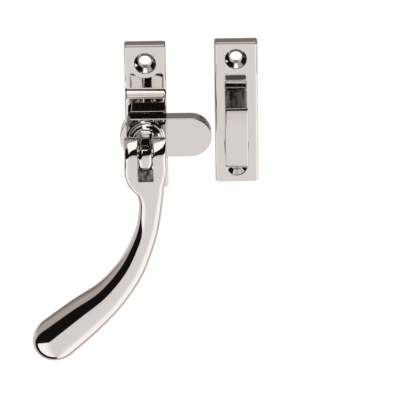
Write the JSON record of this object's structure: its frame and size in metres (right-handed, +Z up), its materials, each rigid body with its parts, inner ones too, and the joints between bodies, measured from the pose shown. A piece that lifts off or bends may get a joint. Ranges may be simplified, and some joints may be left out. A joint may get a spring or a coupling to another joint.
{
  "type": "casement window fastener",
  "caption": "Reversible casement fastener in polished chrome: plate, pivoting tongue, curved bulb-end handle folding on a cross pin, and a separate hook plate.",
  "frame": {"origin": "where the spindle's axis meets the back face of the base plate", "axes": "+Z up along the plates, +X towards the hook plate, fronts facing -Y"},
  "size_m": [0.0904, 0.0376, 0.1244],
  "materials": {
    "plates_chrome": "mirror polished",
    "tongue_chrome": "mirror polished",
    "handle_chrome": "mirror polished",
    "pin_steel": "ground",
    "washer_brass": "stamped",
    "hidden_steel": "bright zinc"
  },
  "bodies": {
    "plates": {"base_plate": "plates_chrome", "thrust_washer": "washer_brass", "hook_plate": "plates_chrome"},
    "spindle": {"tongue": "tongue_chrome", "collar": "tongue_chrome", "hinge_spindle": "tongue_chrome", "cross_pin": "pin_steel", "rear_washer": "hidden_steel", "spring_washer": "hidden_steel", "lock_nut": "hidden_steel"},
    "handle": {"handle": "handle_chrome"}
  },
  "joints": [
    {"name": "handle_turn", "type": "hinge", "parent": "plates", "child": "spindle", "pos_m": [0, 0, 0], "axis": [0, -1, 0], "range_deg": [-180, 90]},
    {"name": "handle_fold", "type": "hinge", "parent": "spindle", "child": "handle", "pos_m": [0, -0.0306, 0], "axis": [-1, 0, 0], "range_deg": [0, 180]}
  ]
}
